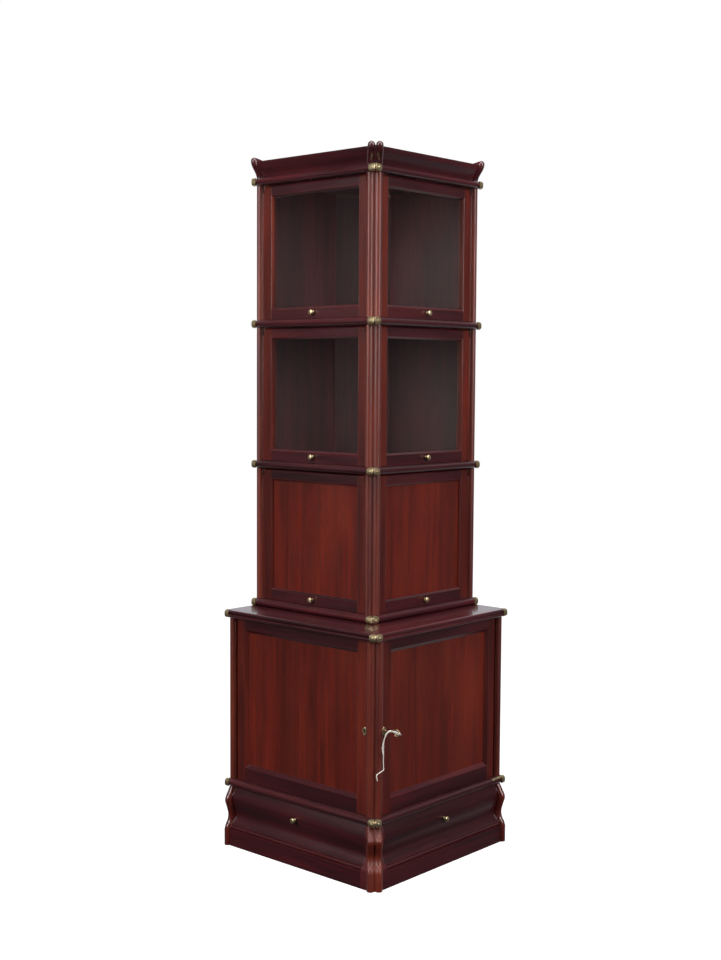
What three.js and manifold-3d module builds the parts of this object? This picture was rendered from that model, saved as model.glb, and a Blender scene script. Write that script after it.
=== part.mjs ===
// A two-faced corner barrister bookcase. Three stacked sections with lift-up doors on two
// adjacent faces stand on a deeper base with two cupboard doors and two drawers, under a flared
// cornice. Millimetres, +Z up, origin on the floor under the middle of the plan.
//
// The right face looks along -Y and the left face along -X. The object is the same on both, so
// everything is drawn for the right face, and mirrored() swaps X and Y for the left one.
import * as THREE from 'three';
import { mergeVertices } from 'three/addons/utils/BufferGeometryUtils.js';
import Module from 'manifold-3d';

const wasm = await Module();
wasm.setup();

// ---- driving dimensions ---------------------------------------------------------------------
const HALF = 291.5;               // half of the square plan, plinth corner to plain backs
const UPPER_FACE = 160;           // crown of the upper standards, out from the origin
const BASE_FACE = 264.5;          // crown of the base standards

const PLINTH_HEIGHT = 46;
const BOTTOM_BOARD_TOP = 57;
const MIDDLE_JOINT = 177;         // bead centre between drawers and cupboard
const TABLE_BOTTOM = 651.5;
const TABLE_TOP = 673;
const FIRST_JOINT = 683;          // bead centre under the lowest section
const SECTION_PITCH = 397.3;
const SECTIONS = ['low', 'middle', 'top'];
const CORNICE_JOINT = FIRST_JOINT + SECTIONS.length * SECTION_PITCH;
const CORNICE_TOP = 1929;
const EAR_TOP = 1941;

const BEAD_HALF = 10;             // half of a bead's height
const BEAD_REACH = 9;             // how far a bead stands out past the standards
const BEAD_DEPTH = 12;

const STANDARD_R = 10;            // half-round vertical standards
const STANDARD_PROUD = 9.5;       // crown in front of the door faces
const STANDARD_OFFSET = 25.3;     // corner line to the middle of the standard beside it
const FAR_STANDARD = HALF - 13;   // middle of the standard on the side board
const POST_DEPTH = 35.5;          // corner post, from the crowns inwards

const SIDE_BOARD = 15;
const BACK_BOARD = 12;
const BACK_LINE = 439;            // x + y on the inner face of the chamfered back board
const DOOR_THICKNESS = 18;
const DOOR_START = 36.5;          // from the corner line to the near edge of a door
const DOOR_END = 267;             // far edge of every door, in x
const DOOR_GAP = 1.5;
const GAP = 0.3;                  // between pieces that touch
const SEAM = 0.15;                // half of the gap between stacked pieces

const TRAVEL = 280;               // how far a lift-up door slides back
const PIN_DROP = 20;              // bead centre down to the lift-up pivot
const PIN_R = 2.5;
const POCKET = 5;                 // recess under each board that the carriage runs in

// ---- looks ----------------------------------------------------------------------------------
const frameWood = { color: 0x45161a, roughness: 0.28, metalness: 0 };
const panelWood = { color: 0x5e1a10, roughness: 0.32, metalness: 0 };
const insideWood = { color: 0x4a1c14, roughness: 0.5, metalness: 0 };
const brass = { color: 0xa48d5c, roughness: 0.3, metalness: 1 };
const steel = { color: 0x8b8680, roughness: 0.4, metalness: 1 };
const glass = { color: 0xdfe8e4, roughness: 0.03, metalness: 0, transparent: true, opacity: 0.25 };
const cotton = { color: 0xe9e5dc, roughness: 0.9, metalness: 0 };

const object = new THREE.Group();

function add(name, geometry, look) {
  const mesh = new THREE.Mesh(geometry, new THREE.MeshStandardMaterial(look));
  mesh.name = name;
  object.add(mesh);
}

// ---- solids ---------------------------------------------------------------------------------
// Skins rings of equal length, given bottom to top and counter-clockwise, into a closed body.
function loft(rings) {
  const count = rings[0].length;
  const top = (rings.length - 1) * count;
  const index = [];
  for (let start = 0; start < top; start += count) {
    for (let i = 0; i < count; i += 1) {
      const a = start + i;
      const b = start + ((i + 1) % count);
      index.push(a, b, b + count, a, b + count, a + count);
    }
  }
  const flat = (ring) => ring.map(([x, y]) => new THREE.Vector2(x, y));
  const cap = (ring) => THREE.ShapeUtils.triangulateShape(flat(ring), []);
  cap(rings[0]).forEach(([a, b, c]) => index.push(a, c, b));
  cap(rings.at(-1)).forEach(([a, b, c]) => index.push(top + a, top + b, top + c));
  const geometry = new THREE.BufferGeometry();
  geometry.setAttribute('position', new THREE.Float32BufferAttribute(rings.flat(2), 3));
  geometry.setIndex(index);
  return geometry;
}

const prism = (outline, z0, z1) => loft([z0, z1].map((z) => outline.map(([x, y]) => [x, y, z])));

// A [y, z] outline drawn out along X.
function alongX(outline, x0, x1) {
  const turn = new THREE.Matrix4().makeBasis(
    new THREE.Vector3(0, 1, 0),
    new THREE.Vector3(0, 0, 1),
    new THREE.Vector3(1, 0, 0),
  );
  return prism(outline, x0, x1).applyMatrix4(turn);
}

function block([x0, x1], [y0, y1], [z0, z1]) {
  const box = new THREE.BoxGeometry(x1 - x0, y1 - y0, z1 - z0);
  return box.translate((x0 + x1) / 2, (y0 + y1) / 2, (z0 + z1) / 2);
}

// A round bar along X, Y or Z between two points on its axis.
function bar(axis, radius, start, end, sides = 12) {
  const from = new THREE.Vector3(...start);
  const to = new THREE.Vector3(...end);
  const round = new THREE.CylinderGeometry(radius, radius, from.distanceTo(to), sides);
  if (axis === 'x') round.rotateZ(-Math.PI / 2);
  if (axis === 'z') round.rotateX(Math.PI / 2);
  return round.translate(...from.add(to).multiplyScalar(0.5).toArray());
}

// Swaps X and Y, which turns the right face's pieces into the left face's.
function mirrored(geometry) {
  const copy = geometry.clone();
  const swap = new THREE.Matrix4().set(0, 1, 0, 0, 1, 0, 0, 0, 0, 0, 1, 0, 0, 0, 0, 1);
  copy.applyMatrix4(swap);
  const corners = copy.index.array;
  for (let i = 0; i < corners.length; i += 3) {
    [corners[i], corners[i + 1]] = [corners[i + 1], corners[i]];
  }
  return copy;
}

const FACES = { right: (geometry) => geometry, left: mirrored };

function toManifold(geometry) {
  const bare = geometry.clone();
  bare.deleteAttribute('normal');
  bare.deleteAttribute('uv');
  const welded = mergeVertices(bare, 1e-4);
  return new wasm.Manifold(new wasm.Mesh({
    numProp: 3,
    vertProperties: new Float32Array(welded.attributes.position.array),
    triVerts: new Uint32Array(welded.index.array),
  }));
}

function fromManifold(solid) {
  const mesh = solid.getMesh();
  const geometry = new THREE.BufferGeometry();
  geometry.setAttribute('position', new THREE.Float32BufferAttribute(mesh.vertProperties, 3));
  geometry.setIndex(Array.from(mesh.triVerts));
  return geometry;
}

// Joins the first list of geometries, then cuts the second list out of it.
function carve(solids, cutters = []) {
  let result = toManifold(solids[0]);
  solids.slice(1).forEach((piece) => { result = result.add(toManifold(piece)); });
  cutters.forEach((piece) => { result = result.subtract(toManifold(piece)); });
  return fromManifold(result);
}

function arc(cx, cy, radius, fromDegrees, toDegrees, steps) {
  return Array.from({ length: steps + 1 }, (_, i) => {
    const angle = THREE.MathUtils.degToRad(fromDegrees + ((toDegrees - fromDegrees) * i) / steps);
    return [cx + radius * Math.cos(angle), cy + radius * Math.sin(angle)];
  });
}

// ---- plan outlines --------------------------------------------------------------------------
const INNER_WALL = HALF - SIDE_BOARD;
const CHAMFER_START = BACK_LINE - INNER_WALL;                 // where the back board meets a side
const OUTER_BACK_LINE = BACK_LINE + BACK_BOARD * Math.SQRT2;
const OUTER_CHAMFER = OUTER_BACK_LINE - HALF;
const DOOR_PLANE_ANGLE = THREE.MathUtils.radToDeg(Math.asin(1 - STANDARD_PROUD / STANDARD_R));

// A whole board, with its two front edges a given distance out from the origin.
const boardOutline = (front) => [
  [-front, -front],
  [HALF, -front],
  [HALF, OUTER_CHAMFER],
  [OUTER_CHAMFER, HALF],
  [-front, HALF],
];

// A board that stops inside the full-height back board.
const innerBoardOutline = (front) => [
  [-front, -front],
  [HALF, -front],
  [HALF, CHAMFER_START - GAP],
  [INNER_WALL - GAP, CHAMFER_START - GAP],
  [CHAMFER_START - GAP, INNER_WALL - GAP],
  [CHAMFER_START - GAP, HALF],
  [-front, HALF],
];

const backOutline = [
  [INNER_WALL, CHAMFER_START],
  [HALF, CHAMFER_START],
  [HALF, OUTER_CHAMFER],
  [OUTER_CHAMFER, HALF],
  [CHAMFER_START, HALF],
  [CHAMFER_START, INNER_WALL],
];

// The rounded front of a standard whose centre line is at x, with its crown at y.
function crown(x, y) {
  return arc(x, y + STANDARD_R, STANDARD_R, 180 + DOOR_PLANE_ANGLE, 360 - DOOR_PLANE_ANGLE, 8);
}

// The front corner post: one standard on each face, with a square notch between them. swell
// leans both standards out along the diagonal, and recess sets the post's own faces behind the
// corner.
function postOutline(front, swell = 0, recess = STANDARD_PROUD) {
  const corner = -front;
  const tip = corner - swell;
  const notch = tip + STANDARD_OFFSET - STANDARD_R;
  const inner = corner + POST_DEPTH;
  const right = [
    ...crown(tip + STANDARD_OFFSET, tip),
    ...(swell > 0 ? [[tip + POST_DEPTH, corner + recess]] : []),
    [inner, corner + recess],
  ];
  const left = right.map(([x, y]) => [y, x]).reverse();
  return [[notch, notch], ...right, [inner, inner], ...left];
}

// The right side board with the standard on its front edge.
function sideOutline(front, swell = 0) {
  const corner = -front;
  const side = corner + STANDARD_PROUD - swell;
  return [
    [HALF, CHAMFER_START - GAP],
    [INNER_WALL, CHAMFER_START - GAP],
    [INNER_WALL, corner + POST_DEPTH],
    [DOOR_END + 1, corner + POST_DEPTH],
    [DOOR_END + 1, side],
    ...crown(FAR_STANDARD, corner - swell),
    [HALF, side],
  ];
}

// ---- boards ---------------------------------------------------------------------------------
// Layers of [z, front] stacked into a board with the same moulding on both front edges.
const mouldedBoard = (layers, outline = boardOutline) => loft(
  layers.map(([z, front]) => outline(front).map(([x, y]) => [x, y, z])),
);

// The rounded bead on a joint: its front line from bottom to top.
function beadLayers(joint, front, half = BEAD_HALF, depth = BEAD_DEPTH) {
  const inner = front + BEAD_REACH - depth;
  return arc(0, 0, 1, -90, 90, 8).map(([out, up]) => [joint + up * half, inner + out * depth]);
}

const PIN_DEPTH = STANDARD_PROUD + DOOR_THICKNESS / 2;        // pivot line behind the crowns

// The plan between the post, the side boards and the back board: the front edges at rim, and
// clear of those boards by a given slack.
function bayOutline(front, rim, slack) {
  const post = POST_DEPTH - front + slack;
  const wall = INNER_WALL - slack;
  const near = [
    [post, -rim],
    [DOOR_END + 1 - slack, -rim],
    [DOOR_END + 1 - slack, post],
    [wall, post],
    [wall, CHAMFER_START - slack],
  ];
  return [...near, ...near.map(([x, y]) => [y, x]).reverse(), [post, post]];
}

// What a board has underneath for the doors below it: a shallow pocket and four guide grooves.
function carriagePocket(joint) {
  const bottom = joint - BEAD_HALF;
  const bay = bayOutline(UPPER_FACE, UPPER_FACE - STANDARD_PROUD + 1, 0.5);
  const pocket = prism(bay, bottom - 1, bottom + POCKET);
  const rest = PIN_DEPTH - UPPER_FACE;
  const grooves = LUGS.map((x) => block(
    [x - 2, x + 2],
    [rest - 8, rest + TRAVEL + 8],
    [bottom, bottom + POCKET + 4],
  ));
  return [pocket, ...grooves, ...grooves.map(mirrored)];
}

// ---- lift-up doors --------------------------------------------------------------------------
const UPPER_START = -UPPER_FACE + DOOR_START;
const LUGS = [UPPER_START + 9, DOOR_END - 9];
const NOTCH_WIDTH = 4;
const NOTCH_DROP = 12;            // below the pivot

// Widths to the sight edge, the bevel on that edge, and the door face to the pane's middle.
const upperFrame = { near: 32, far: 38, topRail: 33, bottomRail: 33, bevel: 5, setback: 10 };
const baseFrame = { near: 45, far: 45, topRail: 38, bottomRail: 47, bevel: 10, setback: 12 };
const BEVEL_SLOPE = 0.85;         // depth of a bevel over its width
const GLASS_THICKNESS = 3;
const PANEL_THICKNESS = 6;
const PANEL_EDGE = 6;             // how far a pane goes into its groove

function opening(door, widths, spread = 0) {
  return {
    x: [door.x[0] + widths.near - spread, door.x[1] - widths.far + spread],
    z: [door.z[0] + widths.bottomRail - spread, door.z[1] - widths.topRail + spread],
  };
}

// The cutters that turn a slab into a frame: a bevelled sight edge, a straight opening and the
// groove that holds the pane.
function frameCutters(door, widths, thickness) {
  const sight = opening(door, widths);
  const bevel = opening(door, widths, widths.bevel);
  const groove = opening(door, widths, PANEL_EDGE + GAP);
  const face = door.y[0];
  const ring = ({ x, z }, y) => [
    [z[0], x[0], y],
    [z[1], x[0], y],
    [z[1], x[1], y],
    [z[0], x[1], y],
  ];
  const turn = new THREE.Matrix4().makeBasis(
    new THREE.Vector3(0, 0, 1),
    new THREE.Vector3(1, 0, 0),
    new THREE.Vector3(0, 1, 0),
  );
  const slope = loft([ring(bevel, face - 0.01), ring(sight, face + widths.bevel * BEVEL_SLOPE)]).applyMatrix4(turn);
  const middle = face + widths.setback;
  const half = thickness / 2 + GAP;
  return [
    slope,
    block(sight.x, [face - 1, door.y[1] + 1], sight.z),
    block(groove.x, [middle - half, middle + half], groove.z),
  ];
}

function pane(door, widths, thickness) {
  const size = opening(door, widths, PANEL_EDGE);
  const middle = door.y[0] + widths.setback;
  return block(size.x, [middle - thickness / 2, middle + thickness / 2], size.z);
}

function liftDoor(joint) {
  const top = joint + SECTION_PITCH;
  return {
    x: [UPPER_START, DOOR_END],
    y: [-UPPER_FACE + STANDARD_PROUD, -UPPER_FACE + STANDARD_PROUD + DOOR_THICKNESS],
    z: [joint + BEAD_HALF + DOOR_GAP, top - PIN_DROP + DOOR_THICKNESS / 2],
    pin: [-UPPER_FACE + PIN_DEPTH, top - PIN_DROP],
  };
}

// A slab with a round top edge about the pivot, notched at both top corners for the carriage.
function liftFrame(door, thickness) {
  const [y, z] = door.pin;
  const profile = [
    [door.y[0], door.z[0]],
    [door.y[1], door.z[0]],
    ...arc(y, z, DOOR_THICKNESS / 2, 0, 180, 10),
  ];
  const notches = [
    [door.x[0] - 1, door.x[0] + NOTCH_WIDTH],
    [door.x[1] - NOTCH_WIDTH, door.x[1] + 1],
  ].map((x) => block(x, [y - 12, y + 12], [z - NOTCH_DROP, z + 12]));
  const holes = [
    [door.x[0], door.x[0] + 14],
    [door.x[1] - 14, door.x[1]],
  ].map((x) => bar('x', PIN_R + GAP, [x[0], y, z], [x[1], y, z], 16));
  return carve(
    [alongX(profile, ...door.x)],
    [...frameCutters(door, upperFrame, thickness), ...notches, ...holes],
  );
}

// The carriage: a flat bar over the door, a leg with a pivot pin at each end, and two lugs that
// run in the grooves of the board above.
function carriage(door, joint) {
  const [y, z] = door.pin;
  const ceiling = joint + SECTION_PITCH - BEAD_HALF + POCKET;
  const barTop = ceiling - GAP;
  const ends = [
    { leg: [door.x[0] + 0.5, door.x[0] + 3.5], pin: [door.x[0] + 2, door.x[0] + 12] },
    { leg: [door.x[1] - 3.5, door.x[1] - 0.5], pin: [door.x[1] - 12, door.x[1] - 2] },
  ];
  return carve([
    block([door.x[0] + 0.5, door.x[1] - 0.5], [y - 6.5, y + 6.5], [barTop - 3.2, barTop]),
    ...ends.map(({ leg }) => block(leg, [y - 6.5, y + 6.5], [z - 6, barTop - 1])),
    ...ends.map(({ pin }) => bar('x', PIN_R, [pin[0], y, z], [pin[1], y, z])),
    ...LUGS.map((x) => block([x - 1.5, x + 1.5], [y - 6, y + 6], [barTop - 1, barTop + 3.5])),
  ]);
}

// A turned knob on a face at y, pointing out of it: a rose, a thin neck and a flat button.
function knob(x, y, z) {
  const profile = [
    [0, 0],
    [5.5, 0],
    [5.5, 1.4],
    [3.2, 2.6],
    [3, 5.6],
    [6.2, 6.6],
    [8, 8.6],
    [8, 10.2],
    [6.2, 12.2],
    [3, 13],
    [0, 13],
  ];
  return new THREE.LatheGeometry(profile.map(([r, out]) => new THREE.Vector2(r, out)), 14)
    .rotateX(Math.PI)
    .translate(x, y - GAP, z);
}

// ---- cornice --------------------------------------------------------------------------------
const CORNICE_FLARE = 24;
const EAR_TAIL = 38;              // how far the end ears run back over the cornice

// How far the cornice has flared at a height: an S-shaped line from the bead to its top.
function flare(z) {
  const start = CORNICE_JOINT + BEAD_HALF;
  const rise = THREE.MathUtils.clamp((z - start) / (CORNICE_TOP - start), 0, 1);
  return CORNICE_FLARE * (rise - Math.sin(2 * Math.PI * rise) / (4 * Math.PI));
}

// A round ear that leans out with the cornice and ends in a dome. At the corner it leans along
// the diagonal, and at an end straight out.
function ear(x, sideways) {
  const domeStart = EAR_TOP - STANDARD_R;
  const foot = CORNICE_JOINT + 6;
  const stem = Array.from({ length: 7 }, (_, i) => foot + ((domeStart - foot) * i) / 6);
  const dome = [25, 50, 72, 85].map((angle) => THREE.MathUtils.degToRad(angle));
  const levels = [
    ...stem.map((z) => [z, STANDARD_R]),
    ...dome.map((angle) => [domeStart + STANDARD_R * Math.sin(angle), STANDARD_R * Math.cos(angle)]),
  ];
  return loft(levels.map(([z, radius]) => {
    const lean = flare(z);
    const centre = [x - lean * sideways, STANDARD_R - UPPER_FACE - lean];
    return arc(...centre, radius, 0, 337.5, 15).map(([px, py]) => [px, py, z]);
  }));
}

// The wedge behind an end ear, from its dome down to the top of the cornice.
function earTail() {
  const y = STANDARD_R - UPPER_FACE - CORNICE_FLARE;
  const half = 0.8 * STANDARD_R;
  const wedge = [
    [y, CORNICE_TOP - 10],
    [y + EAR_TAIL, CORNICE_TOP - 10],
    [y + EAR_TAIL, CORNICE_TOP - 1],
    [y + 0.6 * EAR_TAIL, CORNICE_TOP + 6],
    [y, EAR_TOP - 2],
  ];
  return alongX(wedge, FAR_STANDARD - half, FAR_STANDARD + half);
}

function cornice() {
  const face = UPPER_FACE - STANDARD_PROUD;
  const base = CORNICE_JOINT + BEAD_HALF;
  const moulding = Array.from({ length: 9 }, (_, i) => base + ((CORNICE_TOP - base) * i) / 8)
    .map((z) => [z, face + flare(z)]);
  const ears = [ear(STANDARD_OFFSET - UPPER_FACE, 1), ear(FAR_STANDARD, 0), earTail()];
  const wall = 14;
  const recess = prism(
    [
      [wall - face, wall - face],
      [HALF - wall, wall - face],
      [HALF - wall, OUTER_CHAMFER - wall / 2],
      [OUTER_CHAMFER - wall / 2, HALF - wall],
      [wall - face, HALF - wall],
    ],
    base + 4,
    CORNICE_TOP + 1,
  );
  return carve(
    [mouldedBoard([...beadLayers(CORNICE_JOINT, UPPER_FACE), ...moulding]), ...ears, ...ears.map(mirrored)],
    [recess, ...carriagePocket(CORNICE_JOINT)],
  );
}

add('cornice', cornice(), frameWood);

// ---- upper sections -------------------------------------------------------------------------
SECTIONS.forEach((section, level) => {
  const joint = FIRST_JOINT + level * SECTION_PITCH;
  const bottom = joint + BEAD_HALF + SEAM;
  const top = joint + SECTION_PITCH - BEAD_HALF - SEAM;
  const board = mouldedBoard(beadLayers(joint, UPPER_FACE));
  const hasGlass = section !== 'low';
  const thickness = hasGlass ? GLASS_THICKNESS : PANEL_THICKNESS;
  const door = liftDoor(joint);
  const knobHeight = door.z[0] + upperFrame.bottomRail / 2;

  add(`board_${section}`, level === 0 ? board : carve([board], carriagePocket(joint)), frameWood);
  add(`back_${section}`, prism(backOutline, bottom, top), insideWood);
  add(`post_${section}`, prism(postOutline(UPPER_FACE), bottom, top), frameWood);
  Object.entries(FACES).forEach(([face, place]) => {
    add(`side_${section}_${face}`, place(prism(sideOutline(UPPER_FACE), bottom, top)), frameWood);
    add(`door_${section}_${face}`, place(liftFrame(door, thickness)), frameWood);
    add(
      `${hasGlass ? 'glass' : 'panel'}_${section}_${face}`,
      place(pane(door, upperFrame, thickness)),
      hasGlass ? glass : panelWood,
    );
    add(`knob_${section}_${face}`, place(knob((door.x[0] + door.x[1]) / 2, door.y[0], knobHeight)), brass);
    add(`carriage_${section}_${face}`, place(carriage(door, joint)), steel);
  });
});

// ---- base: table top, cupboard and middle board ---------------------------------------------
const MIDDLE_TOP = MIDDLE_JOINT + BEAD_HALF;
const MIDDLE_BOTTOM = MIDDLE_JOINT - BEAD_HALF;
const PIVOT_R = 2.8;
const PIVOT_LENGTH = 9;

const baseDoor = {
  x: [DOOR_START - BASE_FACE, DOOR_END],
  y: [STANDARD_PROUD - BASE_FACE, STANDARD_PROUD - BASE_FACE + DOOR_THICKNESS],
  z: [MIDDLE_TOP + DOOR_GAP, TABLE_BOTTOM - DOOR_GAP],
  pivot: [DOOR_END - DOOR_THICKNESS / 2, PIN_DEPTH - BASE_FACE],
};
const LOCK = { x: baseDoor.x[0] + 9, z: 412 };

const pivotPin = (z0, z1) => bar('z', PIVOT_R, [...baseDoor.pivot, z0], [...baseDoor.pivot, z1]);

function tableTop() {
  const half = (TABLE_TOP - SEAM - TABLE_BOTTOM) / 4;
  const lower = beadLayers(TABLE_BOTTOM + half, BASE_FACE, half, half);
  const upper = beadLayers(TABLE_BOTTOM + 3 * half, BASE_FACE, half, half);
  const pin = pivotPin(TABLE_BOTTOM - PIVOT_LENGTH, TABLE_BOTTOM + 2);
  return carve([mouldedBoard([...lower, ...upper.slice(1)]), pin, mirrored(pin)]);
}

function middleBoard() {
  const pin = pivotPin(MIDDLE_TOP - 2, MIDDLE_TOP + PIVOT_LENGTH);
  return carve([mouldedBoard(beadLayers(MIDDLE_JOINT, BASE_FACE), innerBoardOutline), pin, mirrored(pin)]);
}

// A slab with a round hinge edge about the pivot, framed, with a pin hole at each end and a
// blind keyhole near its free edge.
function baseFrameDoor() {
  const [x, y] = baseDoor.pivot;
  const outline = [
    [baseDoor.x[0], baseDoor.y[0]],
    ...arc(x, y, DOOR_THICKNESS / 2, -90, 90, 10),
    [baseDoor.x[0], baseDoor.y[1]],
  ];
  const holes = [
    [baseDoor.z[0] - 1, baseDoor.z[0] + PIVOT_LENGTH + 1],
    [baseDoor.z[1] - PIVOT_LENGTH - 1, baseDoor.z[1] + 1],
  ].map(([z0, z1]) => bar('z', PIVOT_R + GAP, [x, y, z0], [x, y, z1], 16));
  const face = baseDoor.y[0];
  const keyhole = [
    bar('y', 3, [LOCK.x, face - 1, LOCK.z], [LOCK.x, face + 9, LOCK.z]),
    block([LOCK.x - 1.2, LOCK.x + 1.2], [face - 1, face + 9], [LOCK.z - 8, LOCK.z]),
  ];
  return carve(
    [prism(outline, ...baseDoor.z)],
    [...frameCutters(baseDoor, baseFrame, PANEL_THICKNESS), ...holes, ...keyhole],
  );
}

add('table_top', tableTop(), frameWood);
add('cupboard_back', prism(backOutline, 0, TABLE_BOTTOM - SEAM), insideWood);
add('cupboard_post', prism(postOutline(BASE_FACE), MIDDLE_TOP + SEAM, TABLE_BOTTOM - SEAM), frameWood);
add('middle_board', middleBoard(), frameWood);
Object.entries(FACES).forEach(([face, place]) => {
  const side = prism(sideOutline(BASE_FACE), MIDDLE_TOP + SEAM, TABLE_BOTTOM - SEAM);
  add(`cupboard_side_${face}`, place(side), frameWood);
  add(`cupboard_door_${face}`, place(baseFrameDoor()), frameWood);
  add(`cupboard_panel_${face}`, place(pane(baseDoor, baseFrame, PANEL_THICKNESS)), panelWood);
});

// ---- drawer unit ----------------------------------------------------------------------------
const PLINTH_FACE = BASE_FACE + 15.5;
const FRONT_DEPTH = 27;           // back of a drawer front, behind the standards' crowns
const FOOT_REACH = 22.5;           // bracket foot in front of the base standards
const OGEE = [                    // height, drawer front and bracket, out from the standards
  [58.5, 9, 18],
  [68, 1, 11.5],
  [86, -6.5, 8],
  [108, 0, 14],
  [130, 4.5, 20.5],
  [150, 0.5, 10.5],
  [MIDDLE_BOTTOM - DOOR_GAP, -6.5, 1],
];

// One column of the ogee as a smooth line of [z, out] points.
function ogeeLine(column) {
  const points = OGEE.map((row) => new THREE.Vector2(row[0], row[column]));
  return new THREE.SplineCurve(points).getPoints(16).map((point) => [point.x, point.y]);
}

const drawerLine = ogeeLine(1);
const bracketLine = [
  [0, FOOT_REACH, PLINTH_FACE - BASE_FACE],
  [PLINTH_HEIGHT, FOOT_REACH, PLINTH_FACE - BASE_FACE],
  ...ogeeLine(2).map(([z, swell], i) => [z, swell, drawerLine[i][1]]),
  [MIDDLE_BOTTOM - SEAM, OGEE.at(-1)[2], OGEE.at(-1)[1]],
];
const bracket = (outline) => loft(bracketLine.map(([z, swell, out]) => (
  outline(BASE_FACE, swell, -out).map(([x, y]) => [x, y, z])
)));

function plinth() {
  const edge = (BOTTOM_BOARD_TOP - PLINTH_HEIGHT) / 2;
  const board = arc(0, PLINTH_HEIGHT + edge, 1, -90, 90, 6).map(([depth, height]) => [
    PLINTH_HEIGHT + edge + (height - PLINTH_HEIGHT - edge) * edge,
    PLINTH_FACE - 10 + depth * 6,
  ]);
  const plate = mouldedBoard(board, (rim) => bayOutline(BASE_FACE, rim, GAP));
  const front = block(
    [POST_DEPTH - BASE_FACE + GAP, DOOR_END + 1 - GAP],
    [-PLINTH_FACE, 16 - PLINTH_FACE],
    [0, PLINTH_HEIGHT + 1],
  );
  return carve([plate, front, mirrored(front), ...drawerGuides(), ...drawerGuides().map(mirrored)]);
}

const DRAWER_SIDE = 8;
const drawerBox = {
  x: [13, 262],
  y: [FRONT_DEPTH - BASE_FACE - 3, 9.5],
  z: [BOTTOM_BOARD_TOP + 0.6, 150],
};
const drawerFront = [DOOR_START - BASE_FACE, DOOR_END - 0.5];

function drawerGuides() {
  const { x, y } = drawerBox;
  const z = [BOTTOM_BOARD_TOP - 1, BOTTOM_BOARD_TOP + 12];
  return [
    block([x[0] - 3.5, x[0] - 0.5], [y[0] + 10, x[0] - 4], z),
    block([x[1] + 0.5, x[1] + 6], [y[0] + 10, 120], z),
  ];
}

// An ogee front with a box on its back, half as wide, so that the two drawers pass each other.
function drawer() {
  const profile = [
    ...drawerLine.map(([z, out]) => [-BASE_FACE - out, z]).reverse(),
    [FRONT_DEPTH - 2 - BASE_FACE, drawerLine[0][0]],
    [FRONT_DEPTH - 2 - BASE_FACE, drawerLine.at(-1)[0]],
  ];
  const { x, y, z } = drawerBox;
  const cavity = block(
    [x[0] + DRAWER_SIDE, x[1] - DRAWER_SIDE],
    [FRONT_DEPTH - 2 - BASE_FACE, y[1] - DRAWER_SIDE],
    [z[0] + DRAWER_SIDE, z[1] + 1],
  );
  return carve([alongX(profile, ...drawerFront), block(x, y, z)], [cavity]);
}

add('plinth', plinth(), frameWood);
add('drawer_post', bracket(postOutline), frameWood);
Object.entries(FACES).forEach(([face, place]) => {
  const middle = (drawerFront[0] + drawerFront[1]) / 2;
  add(`drawer_side_${face}`, place(bracket(sideOutline)), frameWood);
  add(`drawer_${face}`, place(drawer()), frameWood);
  add(`drawer_knob_${face}`, place(knob(middle, -BASE_FACE - 5, 125)), brass);
});

// ---- key and string -------------------------------------------------------------------------
const KEY_REACH = 43.5;           // door face to the middle of the key's bow
const BOW_R = 8.5;

function key() {
  const face = baseDoor.y[0];
  const bowCentre = face - KEY_REACH;
  const bow = new THREE.TorusGeometry(BOW_R, 1.6, 8, 20)
    .rotateY(Math.PI / 2)
    .translate(LOCK.x, bowCentre, LOCK.z);
  return carve([
    bar('y', 2, [LOCK.x, face + 7, LOCK.z], [LOCK.x, bowCentre + BOW_R, LOCK.z]),
    bar('y', 3.2, [LOCK.x, face - 26, LOCK.z], [LOCK.x, face - 24, LOCK.z]),
    bow,
  ]);
}

// A thin cotton string doubled through the key's bow, with both ends hanging.
const STRING_DIAMETER = 2.6;
const stringPoints = [
  [-264.5, -272, 291],
  [-267, -272, 306],
  [-253, -271.5, 311],
  [-237.5, -270, 315],
  [-237.5, -269.5, 326],
  [-238.5, -270, 348],
  [-240, -271.5, 372],
  [-241, -275, 395],
  [-240, -281, 412],
  [-235.5, -289, 420],
  [-229, -294.5, 417.5],
  [-222, -298.5, 411.5],
  [-216.5, -303, 408],
  [-216.5, -310, 409.5],
  [-223, -312, 413.5],
  [-232, -304, 419.5],
  [-238.5, -294, 420.5],
  [-243.5, -284, 411],
  [-246, -277.5, 394],
  [-246.5, -273, 371],
  [-241.5, -273.5, 351],
];

function string() {
  const path = new THREE.CatmullRomCurve3(stringPoints.map((point) => new THREE.Vector3(...point)));
  const round = arc(0, 0, STRING_DIAMETER / 2, 0, 315, 7).map(([x, y]) => new THREE.Vector2(x, y));
  return new THREE.ExtrudeGeometry(
    new THREE.Shape(round),
    { extrudePath: path, steps: 64, bevelEnabled: false },
  );
}

add('key', key(), brass);
add('key_string', string(), cotton);

export default object;
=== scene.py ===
"""Looks of the corner barrister bookcase: lacquered mahogany, aged brass, glass and cotton string.

Everything is drawn for the right face, which looks along -Y, and facing() swaps X and Y for the
left one. Sizes are in millimetres times MM.
"""
import bisect
import math

import bmesh
import bpy
from mathutils import Matrix, Vector


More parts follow.
